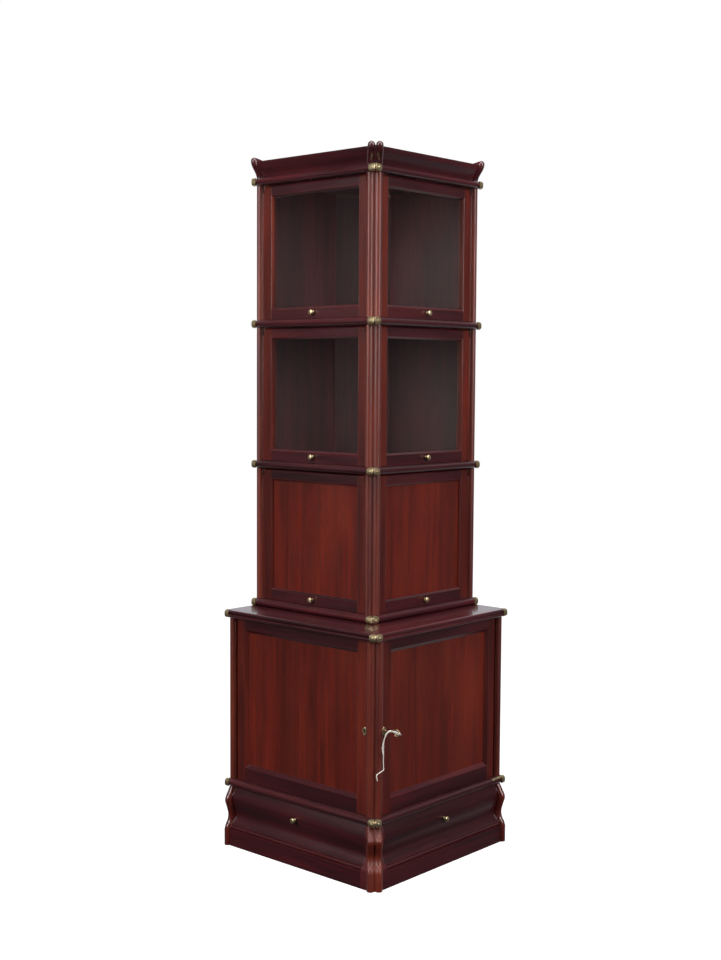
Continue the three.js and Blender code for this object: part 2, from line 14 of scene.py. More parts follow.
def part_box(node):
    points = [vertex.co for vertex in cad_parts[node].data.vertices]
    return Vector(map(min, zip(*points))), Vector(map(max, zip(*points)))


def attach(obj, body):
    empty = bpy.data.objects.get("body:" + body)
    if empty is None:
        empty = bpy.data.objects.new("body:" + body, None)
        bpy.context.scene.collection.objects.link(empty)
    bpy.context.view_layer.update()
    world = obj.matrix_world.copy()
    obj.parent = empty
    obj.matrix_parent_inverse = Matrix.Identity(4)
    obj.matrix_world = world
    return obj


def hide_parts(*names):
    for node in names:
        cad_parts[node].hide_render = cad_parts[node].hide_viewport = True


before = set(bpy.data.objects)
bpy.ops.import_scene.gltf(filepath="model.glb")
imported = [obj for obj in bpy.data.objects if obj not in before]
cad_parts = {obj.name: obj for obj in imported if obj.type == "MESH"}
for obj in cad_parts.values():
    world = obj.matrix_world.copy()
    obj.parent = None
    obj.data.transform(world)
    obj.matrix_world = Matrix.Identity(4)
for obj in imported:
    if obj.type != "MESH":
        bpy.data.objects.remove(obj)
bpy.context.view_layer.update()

MM = 0.001
FACES = ("right", "left")
SECTIONS = ("low", "middle", "top")


# ---- camera ---------------------------------------------------------------------------------
def aimed(place, forward, roll=0.0):
    """The matrix of a camera or lamp at a place that looks along forward, turned by roll."""
    right = forward.cross(Vector((0, 0, 1))).normalized()
    up = right.cross(forward)
    turned_right = math.cos(roll) * right + math.sin(roll) * up
    turned_up = math.cos(roll) * up - math.sin(roll) * right
    columns = Matrix((turned_right, turned_up, -forward)).transposed()
    return Matrix.Translation(place) @ columns.to_4x4()


CAMERA_PLACE = Vector((-2.91994, -2.57556, 1.32817))
CAMERA_YAW = math.radians(48.28)
CAMERA_PITCH = math.radians(4.217)
CAMERA_ROLL = math.radians(0.342)
FORWARD = Vector((
    math.sin(CAMERA_YAW) * math.cos(CAMERA_PITCH),
    math.cos(CAMERA_YAW) * math.cos(CAMERA_PITCH),
    -math.sin(CAMERA_PITCH),
))

camera = bpy.data.objects.new("camera", bpy.data.cameras.new("camera"))
camera.data.sensor_width = 36
camera.data.lens = 52.106
camera.data.clip_start = 0.05
camera.data.clip_end = 100
camera.matrix_world = aimed(CAMERA_PLACE, FORWARD, CAMERA_ROLL)
bpy.context.scene.collection.objects.link(camera)
bpy.context.scene.camera = camera
bpy.context.scene.view_settings.view_transform = "Standard"


# ---- nodes ----------------------------------------------------------------------------------
MIX_A, MIX_B, MIX_RESULT = 6, 7, 2       # the colour sockets of a Mix node


def fed(tree, node, sockets):
    """Sets a node's sockets, each to a value or to another node's output."""
    for key, value in sockets.items():
        if isinstance(value, bpy.types.NodeSocket):
            tree.links.new(value, node.inputs[key])
        else:
            node.inputs[key].default_value = value
    return node


def add(tree, kind, sockets=None, **settings):
    """A node with its settings and its sockets."""
    made = tree.nodes.new(kind)
    for key, value in settings.items():
        setattr(made, key, value)
    return fed(tree, made, sockets or {})


def linear(code):
    """The linear colour of an sRGB hex value."""
    channels = [int(code[i:i + 2], 16) / 255 for i in (0, 2, 4)]
    bent = [c / 12.92 if c <= 0.04045 else ((c + 0.055) / 1.055) ** 2.4 for c in channels]
    return (*bent, 1.0)


def new_finish(name):
    """An empty material with its tree, its output and a Principled shader."""
    made = bpy.data.materials.new(name)
    made.use_nodes = True
    tree = made.node_tree
    tree.nodes.clear()
    shader = add(tree, "ShaderNodeBsdfPrincipled")
    add(tree, "ShaderNodeOutputMaterial", {"Surface": shader.outputs["BSDF"]})
    return made, tree, shader


def noise(tree, place, size, **sockets):
    """How a pattern varies at a place, whose spots are size = (across, across, along) metres."""
    scaled = add(tree, "ShaderNodeMapping", {"Vector": place, "Scale": [1 / s for s in size]})
    links = {"Vector": scaled.outputs[0], "Scale": 1.0, **sockets}
    dimensions = "4D" if "W" in sockets else "3D"
    return add(tree, "ShaderNodeTexNoise", links, noise_dimensions=dimensions).outputs[0]


def spread(tree, value, low, high, to_low=0.0, to_high=1.0):
    """A value stretched from low..high to to_low..to_high, and held inside them."""
    return add(tree, "ShaderNodeMapRange", {
        "Value": value, "From Min": low, "From Max": high, "To Min": to_low, "To Max": to_high,
    }).outputs[0]


def blended(tree, share, first, second):
    """The first colour, turned into the second by a share that a pattern gives."""
    return add(tree, "ShaderNodeMix", {0: share, MIX_A: first, MIX_B: second},
               data_type="RGBA").outputs[MIX_RESULT]


# ---- wood -----------------------------------------------------------------------------------
def mahogany(name, deep, body, bright, pore, lengthwise=False, lacquer=0.8, rough=0.34):
    """Cuban mahogany, planed, stained red and French polished. The grain is close: growth bands
    about 22 mm apart, fibre 3 mm wide, and open pores that are really 0.2 mm wide and are drawn
    1 mm wide to show. The polish gives a soft mirror that is a little uneven. With lengthwise
    the grain runs along the front edge that a point is nearest to, and meets in a mitre."""
    made, tree, shader = new_finish(name)
    place = add(tree, "ShaderNodeTexCoord").outputs["Object"]
    if lengthwise:
        part = add(tree, "ShaderNodeSeparateXYZ", {0: place}).outputs
        along = add(tree, "ShaderNodeMath", {0: part[0], 1: part[1]}, operation="MAXIMUM")
        across = add(tree, "ShaderNodeMath", {0: part[0], 1: part[1]}, operation="MINIMUM")
        side = add(tree, "ShaderNodeMath", {0: part[1], 1: part[0]}, operation="GREATER_THAN")
        height = add(tree, "ShaderNodeMath", {0: part[2], 1: side.outputs[0]}, operation="ADD")
        place = add(tree, "ShaderNodeCombineXYZ", {
            0: height.outputs[0], 1: across.outputs[0], 2: along.outputs[0],
        }).outputs[0]
    timber = add(tree, "ShaderNodeAttribute", attribute_name="timber").outputs["Fac"]
    tree_of_piece = spread(tree, timber, 0.0, 1.0, 0.0, 40.0)

    clouds = noise(tree, place, (0.16, 0.16, 0.5), W=tree_of_piece, Detail=2.0)
    bands = noise(tree, place, (0.022, 0.022, 0.42), W=tree_of_piece, Detail=3.0, Distortion=0.7)
    fibre = noise(tree, place, (0.003, 0.003, 0.11), Detail=3.0, Distortion=0.3)
    pores = noise(tree, place, (0.001, 0.001, 0.022), Detail=1.0)

    tone = blended(tree, spread(tree, bands, 0.36, 0.64), linear(deep), linear(body))
    tone = blended(tree, spread(tree, clouds, 0.48, 0.72, 0.0, 0.7), tone, linear(bright))
    tone = blended(tree, spread(tree, fibre, 0.44, 0.66, 0.0, 0.55), tone, linear(deep))
    tone = blended(tree, spread(tree, pores, 0.60, 0.70, 0.0, 0.6), tone, linear(pore))
    value = spread(tree, timber, 0.0, 1.0, 0.86, 1.14)
    tone = add(tree, "ShaderNodeHueSaturation", {"Color": tone, "Value": value}).outputs[0]

    fill = add(tree, "ShaderNodeBump", {
        "Height": pores, "Strength": 0.25, "Distance": 0.0003}, invert=True)
    polish = add(tree, "ShaderNodeBump", {
        "Height": noise(tree, place, (0.018, 0.018, 0.05), Detail=1.0),
        "Strength": 0.12, "Distance": 0.0006})
    fed(tree, shader, {
        "Base Color": tone,
        "Roughness": spread(tree, fibre, 0.3, 0.7, rough - 0.05, rough + 0.08),
        "Normal": fill.outputs[0],
        "IOR": 1.5,
        "Coat Weight": lacquer,
        "Coat Roughness": 0.1,
        "Coat IOR": 1.5,
        "Coat Normal": polish.outputs[0],
    })
    return made


# One timber throughout, stained a little darker where the grain runs along the front. The
# standards are rubbed nearly dull, and the insides have a thin coat of polish.
upright = mahogany("mahogany_uprights", "40110c", "621d14", "802d1a", "200908")
lengthwise = mahogany("mahogany_lengthwise", "2e0b10", "49141a", "622023", "1c070a", True)
panel_wood = mahogany("mahogany_panels", "4e140b", "701e10", "86301a", "280906")
standard_wood = mahogany("mahogany_standards", "4a130c", "6e2415", "8a381e", "2a0c09",
                         lacquer=0.12, rough=0.46)
# Painted shade: the insides are darker than the outer timber, for the shade inside the case.
inside_wood = mahogany("mahogany_insides", "2e0d10", "4a1720", "602226", "1c080a",
                       lacquer=0.15, rough=0.5)
arris_wood = mahogany("mahogany_rubbed_arris", "4a1713", "6e2a1c", "8a3c26", "330f0c", rough=0.4)


# ---- metal, glass, cotton and floor ---------------------------------------------------------
def aged_metal(name, clean, tarnished, grime, rough):
    """Cast and filed metal whose lacquer has worn off: tarnish in 8 mm clouds, grime in 2 mm
    spots and a fine uneven surface, so that it shines softly with dull patches."""
    made, tree, shader = new_finish(name)
    place = add(tree, "ShaderNodeTexCoord").outputs["Object"]
    clouds = noise(tree, place, (0.008, 0.008, 0.008), Detail=3.0)
    spots = noise(tree, place, (0.002, 0.002, 0.002), Detail=2.0)
    tone = blended(tree, spread(tree, clouds, 0.4, 0.68), linear(clean), linear(tarnished))
    tone = blended(tree, spread(tree, spots, 0.58, 0.72, 0.0, 0.7), tone, linear(grime))
    bump = add(tree, "ShaderNodeBump", {"Height": spots, "Strength": 0.2, "Distance": 0.0002})
    fed(tree, shader, {
        "Base Color": tone,
        "Roughness": spread(tree, clouds, 0.3, 0.7, rough - 0.07, rough + 0.12),
        "Normal": bump.outputs[0],
        "Metallic": 1.0,
    })
    return made


# Cast brass, aged: pale yellow with duller clouds and brown spots.
brass = aged_metal("aged_cast_brass", "d8c59c", "a08b66", "4e402e", 0.4)
# Mild steel strip, oiled and darkened, for the hidden slides.
steel = aged_metal("oiled_mild_steel", "8f8a84", "6a645f", "3c3733", 0.38)


def window_glass():
    """Drawn sheet glass, 3 mm, with the faint waves of old panes about 60 mm apart. Lamps shine
    through it as they do through a window, so that what is behind it is lit."""
    made, tree, shader = new_finish("drawn_sheet_glass")
    place = add(tree, "ShaderNodeTexCoord").outputs["Object"]
    waves = noise(tree, place, (0.06, 0.06, 0.14), Detail=1.0)
    bump = add(tree, "ShaderNodeBump", {"Height": waves, "Strength": 0.1, "Distance": 0.0008})
    fed(tree, shader, {
        "Base Color": linear("eef3f0"),
        "Roughness": 0.02,
        "Normal": bump.outputs[0],
        "IOR": 1.5,
        "Transmission Weight": 1.0,
    })
    path = add(tree, "ShaderNodeLightPath")
    clear = add(tree, "ShaderNodeBsdfTransparent", {"Color": linear("e4ebe7")})
    both = add(tree, "ShaderNodeMixShader", {
        0: path.outputs["Is Shadow Ray"], 1: shader.outputs["BSDF"], 2: clear.outputs[0]})
    tree.links.new(both.outputs[0], tree.nodes["Material Output"].inputs["Surface"])
    return made


glass = window_glass()


def cotton_string():
    """Bleached cotton, three plies laid up by twisting: matt, with soft fuzz and painted shade
    that greys the hollows between the plies. The plies are in the mesh, and this is their fibre."""
    made, tree, shader = new_finish("laid_cotton_string")
    place = add(tree, "ShaderNodeTexCoord").outputs["Object"]
    hollow = add(tree, "ShaderNodeAttribute", attribute_name="hollow").outputs["Fac"]
    fuzz = noise(tree, place, (0.0006, 0.0006, 0.0006), Detail=2.0)
    tone = blended(tree, spread(tree, fuzz, 0.4, 0.65), linear("f3f0e8"), linear("ddd7c9"))
    # Painted shade: the deeper the hollows between the plies, the greyer (a39a8a) they are
    # painted.
    tone = blended(tree, spread(tree, hollow, 0.0, 1.0, 0.0, 0.6), tone, linear("a39a8a"))
    bump = add(tree, "ShaderNodeBump", {"Height": fuzz, "Strength": 0.5, "Distance": 0.0002})
    fed(tree, shader, {
        "Base Color": tone,
        "Roughness": 0.9,
        "Normal": bump.outputs[0],
        "Sheen Weight": 0.4,
        "Sheen Roughness": 0.5,
    })
    return made


cotton = cotton_string()


def floor_paint():
    """Matt emulsion on board, with cloudy marks about 0.3 m across. It is lit from within, so
    that it is nearly white, and its own grey only takes the faint shadow under the plinth."""
    made, tree, shader = new_finish("matt_floor_paint")
    place = add(tree, "ShaderNodeTexCoord").outputs["Object"]
    marks = noise(tree, place, (0.3, 0.3, 0.3), Detail=2.0)
    fed(tree, shader, {
        "Base Color": blended(tree, marks, linear("8c8c8c"), linear("868687")),
        "Roughness": 0.85,
        "Emission Color": (1.0, 1.0, 1.0, 1.0),
        "Emission Strength": 0.97,
    })
    return made


# ---- mesh code ------------------------------------------------------------------------------
def facing(shell, face):
    """Turns what was drawn for the right face into the left face's, or back."""
    if face == "left":
        for point in shell.verts:
            point.co.x, point.co.y = point.co.y, point.co.x
        bmesh.ops.reverse_faces(shell, faces=shell.faces)
    return shell


def packed_solid(node, face="right"):
    """A merged copy of a CAD node's loose triangles, with its flat faces whole."""
    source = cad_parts[node].data
    shell = bmesh.new()
    points = [shell.verts.new(v.co) for v in source.vertices]
    for triangle in source.polygons:
        shell.faces.new([points[i] for i in triangle.vertices])
    bmesh.ops.remove_doubles(shell, verts=shell.verts, dist=0.02 * MM)
    bmesh.ops.dissolve_limit(shell, angle_limit=math.radians(0.6), verts=shell.verts,
                             edges=shell.edges)
    return facing(shell, face)


def block(low, high):
    """A box between two corners, given in millimetres."""
    shell = bmesh.new()
    bmesh.ops.create_cube(shell, size=1)
    for point in shell.verts:
        point.co = [(a + b) / 2 + (b - a) * c for a, b, c in zip(low, high, point.co)]
        point.co *= MM
    return shell


def loft(rings):
    """A closed body through rings of equal length, in millimetres, with flat ends."""
    shell = bmesh.new()
    rows = [[shell.verts.new(Vector(p) * MM) for p in ring] for ring in rings]
    count = len(rows[0])
    for lower, upper in zip(rows, rows[1:]):
        for i in range(count):
            j = (i + 1) % count
            shell.faces.new((lower[i], lower[j], upper[j], upper[i]))
    shell.faces.new(rows[0])
    shell.faces.new(rows[-1])
    bmesh.ops.remove_doubles(shell, verts=shell.verts, dist=0.005 * MM)
    bmesh.ops.recalc_face_normals(shell, faces=shell.faces)
    return shell


def turned(profile, sides=36):
    """A turned body from [radius, out] points in millimetres, standing out along -Y."""
    angles = [2 * math.pi * i / sides for i in range(sides)]
    return loft([[(max(r, 0.001) * math.cos(a), -out, max(r, 0.001) * math.sin(a))
                  for a in angles] for r, out in profile])


def moved(shell, x, y, z):
    """Moves a body by millimetres."""
    bmesh.ops.translate(shell, verts=shell.verts, vec=Vector((x, y, z)) * MM)
    return shell


def cut_off(shell, place, away):
    """Cuts off what lies on the away side of a plane, in millimetres, and closes the cut."""
    result = bmesh.ops.bisect_plane(
        shell, geom=[*shell.verts, *shell.edges, *shell.faces], dist=0.001 * MM,
        plane_co=Vector(place) * MM, plane_no=Vector(away), clear_outer=True)
    rim = [e for e in result["geom_cut"] if isinstance(e, bmesh.types.BMEdge)]
    bmesh.ops.triangle_fill(shell, use_beauty=True, edges=rim)
    bmesh.ops.dissolve_limit(shell, angle_limit=math.radians(0.6), verts=shell.verts,
                             edges=shell.edges)


def plate(surface, rows, columns):
    """A thin closed plate between surface(u, v, 0) and surface(u, v, 1), with u and v from 0 to
    1 and points in millimetres."""
    shell = bmesh.new()
    sides = [[[shell.verts.new(Vector(surface(i / rows, j / columns, side)) * MM)
               for j in range(columns + 1)] for i in range(rows + 1)] for side in (0, 1)]
    for grid in sides:
        for i in range(rows):
            for j in range(columns):
                shell.faces.new((grid[i][j], grid[i + 1][j], grid[i + 1][j + 1], grid[i][j + 1]))
    inner, outer = sides
    for i in range(rows):
        for j in (0, columns):
            shell.faces.new((inner[i][j], inner[i + 1][j], outer[i + 1][j], outer[i][j]))
    for j in range(columns):
        for i in (0, rows):
            shell.faces.new((inner[i][j], inner[i][j + 1], outer[i][j + 1], outer[i][j]))
    bmesh.ops.remove_doubles(shell, verts=shell.verts, dist=0.01 * MM)
    bmesh.ops.recalc_face_normals(shell, faces=shell.faces)
    return shell


GOLDEN_SHARE = 0.618034                   # spreads the timber values evenly from 0 to 1
timber_count = 0


def joined(shells):
    """One body from several, given as (shell, finish number or a rule for it). Each has its own
    timber value, so that no two pieces of wood have the same grain."""
    global timber_count
    whole = bmesh.new()
    timber = whole.verts.layers.float.new("timber")
    for shell, finish in shells:
        timber_count += 1
        value = timber_count * GOLDEN_SHARE % 1
        shell.normal_update()
        points = {}
        for point in shell.verts:
            points[point] = whole.verts.new(point.co)
            points[point][timber] = value
        for flat in shell.faces:
            copy = whole.faces.new([points[p] for p in flat.verts])
            middle = flat.calc_center_median()
            copy.material_index = finish(middle, flat.normal) if callable(finish) else finish
        shell.free()
    return whole


def shown(name, shell, finishes, arris=0.0, worn=None):
    """An object at the origin from a body. arris rounds its sharp edges by that many
    millimetres, and worn is the finish of those edges."""
    mesh = bpy.data.meshes.new(name)
    shell.to_mesh(mesh)
    shell.free()
    for finish in finishes:
        mesh.materials.append(finish)
    made = bpy.data.objects.new(name, mesh)
    bpy.context.scene.collection.objects.link(made)
    if arris:
        rounding = made.modifiers.new("arris", "BEVEL")
        rounding.width = arris * MM
        rounding.segments = 2
        rounding.limit_method = "ANGLE"
        rounding.angle_limit = math.radians(31)
        if worn:
            mesh.materials.append(worn)
            rounding.material = len(finishes)
        made.data = plain_mesh(made)
        bpy.data.meshes.remove(mesh)
    made.data.shade_smooth()
    made.data.set_sharp_from_angle(angle=math.radians(48 if arris else 31))
    flats = made.modifiers.new("flats", "WEIGHTED_NORMAL")
    flats.keep_sharp = True
    return made


def plain_mesh(made):
    """An object's mesh with its modifiers worked out, which are then taken off."""
    evaluated = made.evaluated_get(bpy.context.evaluated_depsgraph_get())
    mesh = bpy.data.meshes.new_from_object(evaluated)
    mesh.name = made.name
    made.modifiers.clear()
    return mesh


def fitted(made, body, slot, *nodes):
    """Puts a finished piece on its body and hides the CAD nodes that it stands for. slot is not
    used.
    """
    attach(made, body)
    if nodes:
        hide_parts(*nodes)
    return made


# ---- key and string -------------------------------------------------------------------------
STRING_DIAMETER = 2.6
STRING_TAIL = [
    (-222, -298.5, 411.5), (-229, -294.5, 417.5), (-235.5, -289, 420), (-240, -281, 412),
    (-241, -275, 395), (-240, -271.5, 372), (-238.5, -270, 348), (-237.5, -269.5, 326),
    (-237.5, -270, 315), (-253, -271.5, 311), (-267, -272, 306), (-264.5, -272, 291),
]
STRING_LOOP = [
    (-222, -298.5, 411.5), (-216.5, -303, 408), (-216.5, -310, 409.5), (-223, -312, 413.5),
    (-232, -304, 419.5), (-238.5, -294, 420.5), (-243.5, -284, 411), (-246, -277.5, 394),
    (-246.5, -273, 371), (-241.5, -273.5, 351),
]


def smooth_line(points, steps):
    """A smooth line through points, with steps to each stretch."""
    points = [Vector(p) for p in points]
    ends = [2 * points[0] - points[1], *points, 2 * points[-1] - points[-2]]
    line = []
    for corners in zip(ends, ends[1:], ends[2:], ends[3:]):
        knots = [0.0]
        for p, q in zip(corners, corners[1:]):
            knots.append(knots[-1] + (q - p).length ** 0.5)

        def between(first, second, start, end, at):
            return first.lerp(second, (at - knots[start]) / (knots[end] - knots[start]))

        for i in range(steps):
            at = knots[1] + (knots[2] - knots[1]) * i / steps
            a, b, c = (between(corners[k], corners[k + 1], k, k + 1, at) for k in range(3))
            line.append(between(between(a, b, 0, 2, at), between(b, c, 1, 3, at), 1, 2, at))
    line.append(points[-1])
    return line


BOW_RADIUS, BOW_TUBE = 8.5, 1.6           # the key's bow
BOW_STEPS, BOW_SIDES = 40, 14
PLIES = 3
PLY_TURN = 9.0                            # one twist of the string, along its length
STRING_SIDES = 18


def laid_string(name, points):
    """A three-ply string along a line, its plies twisted, with each end drawn in."""
    fine = smooth_line(points, 24)
    shell = bmesh.new()
    hollow = shell.verts.layers.float.new("hollow")
    side = (fine[1] - fine[0]).orthogonal().normalized()
    rings = []
    run = 0.0
    for i, centre in enumerate(fine):
        ahead = (fine[min(i + 1, len(fine) - 1)] - fine[max(i - 1, 0)]).normalized()
        side = (side - side.dot(ahead) * ahead).normalized()
        other = ahead.cross(side)
        run += (centre - fine[max(i - 1, 0)]).length
        twist = 2 * math.pi * run / PLY_TURN
        thin = 0.55 if i in (0, len(fine) - 1) else 1.0
        ring = []
        for k in range(STRING_SIDES):
            angle = 2 * math.pi * k / STRING_SIDES
            dip = (1 - abs(math.cos(PLIES * (angle - twist) / 2))) ** 2
            radius = STRING_DIAMETER / 2 * thin * (1 - 0.24 * dip)
            point = shell.verts.new(
                (centre + radius * (math.cos(angle) * side + math.sin(angle) * other)) * MM)
            # The depth of the hollows is kept for the painted shade that the finish puts in them.
            point[hollow] = dip
            ring.append(point)
        rings.append(ring)
    for lower, upper in zip(rings, rings[1:]):
        for k in range(STRING_SIDES):
            j = (k + 1) % STRING_SIDES
            shell.faces.new((lower[k], lower[j], upper[j], upper[k]))
    shell.faces.new(rings[0])
    shell.faces.new(rings[-1])
    bmesh.ops.recalc_face_normals(shell, faces=shell.faces)
    return shown(name, shell, [cotton])


def turned_key():
    """A cabinet key: a round bow on a turned shank with two collars, in the right door's lock."""
    low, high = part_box("key")
    x = (low.x + high.x) / 2 / MM
    z = (low.z + high.z) / 2 / MM
    bow_y = low.y / MM + BOW_RADIUS + BOW_TUBE
    shank_end = high.y / MM
    reach = shank_end - (bow_y + BOW_RADIUS)
    shank = turned([(2, 0), (2, 9), (2.3, 9.6), (3.2, 10.2), (3.3, 11), (2.2, 12), (2, 13),
                    (1.9, reach - 4), (2.4, reach - 3), (2.9, reach - 1.8), (2.6, reach - 0.6),
                    (1.6, reach + 0.6)], 24)
    bow = bmesh.new()
    rows = []
    for i in range(BOW_STEPS):
        turn = 2 * math.pi * i / BOW_STEPS
        row = []
        for k in range(BOW_SIDES):
            angle = 2 * math.pi * k / BOW_SIDES
            away = BOW_RADIUS + BOW_TUBE * math.cos(angle)
            row.append(bow.verts.new(Vector((
                x + BOW_TUBE * 0.9 * math.sin(angle),
                bow_y + away * math.cos(turn),
                z + away * math.sin(turn),
            )) * MM))
        rows.append(row)
    for lower, upper in zip(rows, rows[1:] + rows[:1]):
        for k in range(BOW_SIDES):
            j = (k + 1) % BOW_SIDES
            bow.faces.new((lower[k], lower[j], upper[j], upper[k]))
    bmesh.ops.recalc_face_normals(bow, faces=bow.faces)
    shells = [(moved(shank, x, shank_end, z), 0), (bow, 0)]
    return fitted(shown("key_brass", joined(shells), [brass]), "cupboard_right_door",
                  "brass", "key")


key_piece = turned_key()
for name, points, extra in (("key_string_tail", STRING_TAIL, [key_piece]),
                            ("key_string_loop", STRING_LOOP, [])):
    string = laid_string(name, points)
    route = [p * MM for p in smooth_line(points, 3)]
    fitted(string, "cupboard_right_door", "cotton", "key_string")


# ---- the case -------------------------------------------------------------------------------
HALF = 291.5                              # half of the square plan
INNER_WALL = 276.5
FRONTS = {"upper": 160.0, "base": 264.5}  # crowns of the standards, out from the origin
BEAD_REACH, BEAD_DEPTH, BEAD_HALF = 9.0, 12.0, 10.0
DRAWER_FRONT_BACK = -240.0                # just in front of the back of a drawer's front
BRACKET_FLAT = 34.5                       # corner line to the flat beside a leaning standard


def inward(middle, normal):
    """1 for a face of a side or back board that looks into the bookcase."""
    inner = (INNER_WALL - 1) * MM
    far = (middle.x > inner and normal.x < -0.5) or (middle.y > inner and normal.y < -0.5)
    return 1 if far else 0


def level_face(_middle, normal):
    """1 for the flat top or bottom of a shelf board."""
    return 1 if abs(normal.z) > 0.9 else 0


def behind_front(middle, _normal):
    """1 for what is behind a drawer's front."""
    return 1 if min(middle.x, middle.y) > DRAWER_FRONT_BACK * MM else 0


def beside_bracket(node):
    """A rule that is 1 for the flats beside the two leaning standards of the corner bracket. The
    corner line leans too, so it is looked up at each height."""
    corner = {}
    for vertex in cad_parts[node].data.vertices:
        height = round(vertex.co.z, 5)
        corner[height] = min(vertex.co.x, corner.get(height, 0.0))
    heights = sorted(corner)

    def rule(middle, normal):
        above = min(bisect.bisect_left(heights, middle.z), len(heights) - 1)
        low, high = heights[max(above - 1, 0)], heights[above]
        share = (middle.z - low) / (high - low) if high > low else 0.0
        edge = corner[low] + (corner[high] - corner[low]) * share + BRACKET_FLAT * MM
        beside = (normal.y < -0.5 and middle.x > edge) or (normal.x < -0.5 and middle.y > edge)
        return 1 if beside else 0

    return rule


def finished(node, body, slot, finishes, rule=0, arris=0.8, worn=arris_wood):
    """A CAD node's shape with rounded arrises and its finishes."""
    shell = joined([(packed_solid(node), rule)])
    return fitted(shown(f"{node}_finished", shell, finishes, arris, worn), body, slot, node)


for section in SECTIONS:
    finished(f"board_{section}", "case", "frame_wood", [lengthwise, inside_wood], level_face)
    finished(f"back_{section}", "case", "inside_wood", [inside_wood])
    finished(f"post_{section}", "case", "frame_wood", [standard_wood])
    for face in FACES:
        finished(f"side_{section}_{face}", "case", "frame_wood", [standard_wood, inside_wood],
                 inward)
        finished(f"carriage_{section}_{face}", f"{section}_{face}_carriage", "steel", [steel],
                 arris=0.25, worn=None)
finished("cornice", "case", "frame_wood", [lengthwise], arris=0.6)
finished("table_top", "case", "frame_wood", [lengthwise])
finished("middle_board", "case", "frame_wood", [lengthwise, inside_wood], level_face)
finished("cupboard_back", "case", "inside_wood", [inside_wood])
finished("cupboard_post", "case", "frame_wood", [standard_wood])
finished("drawer_post", "case", "frame_wood", [standard_wood, lengthwise],
         beside_bracket("drawer_post"))
finished("plinth", "case", "frame_wood", [lengthwise])
for face in FACES:
    finished(f"cupboard_side_{face}", "case", "frame_wood", [standard_wood, inside_wood], inward)
    finished(f"drawer_side_{face}", "case", "frame_wood", [upright])
    finished(f"drawer_{face}", f"{face}_drawer", "frame_wood", [lengthwise, inside_wood],
             behind_front)


# ---- doors ----------------------------------------------------------------------------------
# Widths from a door's edge to its sight edge, the moulding's width within them, and how far the
# middle of the pane is behind the door's face.
UPPER_FRAME = {"near": 32.0, "far": 38.0, "top": 33.0, "bottom": 33.0,
               "moulding": 5.2, "setback": 10.0}
BASE_FRAME = {"near": 45.0, "far": 45.0, "top": 38.0, "bottom": 47.0,
              "moulding": 10.2, "setback": 12.0}
DOOR_THICKNESS = 18.0
MOULDING_SLOPE = 0.85                     # depth of a bevelled moulding over its width


def box_on_face(node, face):
    """A node's corners in millimetres, as they would be on the right face."""
    low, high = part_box(node)
    if face == "left":
        low, high = Vector((low.y, low.x, low.z)), Vector((high.y, high.x, high.z))
    return low / MM, high / MM


def frame_members(node, face, ring_low, ring_high):
    """The two stiles and two rails of a door frame, cut from its solid along the outside of the
    moulding."""
    near, far = (ring_low.x, 0, 0), (ring_high.x, 0, 0)
    sill, head = (0, 0, ring_low.z), (0, 0, ring_high.z)
    members = [
        ([(near, (1, 0, 0))], 0),
        ([(far, (-1, 0, 0))], 0),
        ([(near, (-1, 0, 0)), (far, (1, 0, 0)), (sill, (0, 0, 1))], 1),
        ([(near, (-1, 0, 0)), (far, (1, 0, 0)), (head, (0, 0, -1))], 1),
    ]
    shells = []
    for planes, finish in members:
        shell = packed_solid(node, face)
        for place, away in planes:
            cut_off(shell, place, away)
        shells.append((shell, finish))
    return shells


def mitred_ring(profile, low, high, face_y):
    """Four mitred sticks round an opening. profile is [in from the outer edge, depth behind the
    face] and low and high are the ring's outer corners, all in millimetres."""
    sticks = []
    for upright_stick in (True, False):
        for side in (0, 1):
            rings = []
            for end in (0, 1):
                ring = []
                for inner, depth in profile:
                    x = (low.x + inner, high.x - inner)
                    z = (low.z + inner, high.z - inner)
                    place = (x[side], z[end]) if upright_stick else (x[end], z[side])
                    ring.append((place[0], face_y + depth, place[1]))
                rings.append(ring)
            sticks.append((loft(rings), 0 if upright_stick else 1))
    return sticks


def bevel(width, back):
    """A bevelled moulding from a door's face down to its pane, with both edges softened."""
    drop = MOULDING_SLOPE * width
    return [(0, back), (0, 0.3), (0.5, 0.05), (1.1, 0.35), (1.7, 1.0),
            (width - 0.7, drop - 0.8), (width, drop), (width, back)]


def panel_boards(low, high, face_y, half, joints):
    """A panel glued up from upright boards. joints are where they meet, as shares of its width
    from its near edge."""
    width = high.x - low.x
    edges = [0.0, *joints, 1.0]
    return [(block((low.x + width * a + 0.06, face_y - half, low.z),
                   (low.x + width * b - 0.06, face_y + half, high.z)), 0)
            for a, b in zip(edges, edges[1:])]


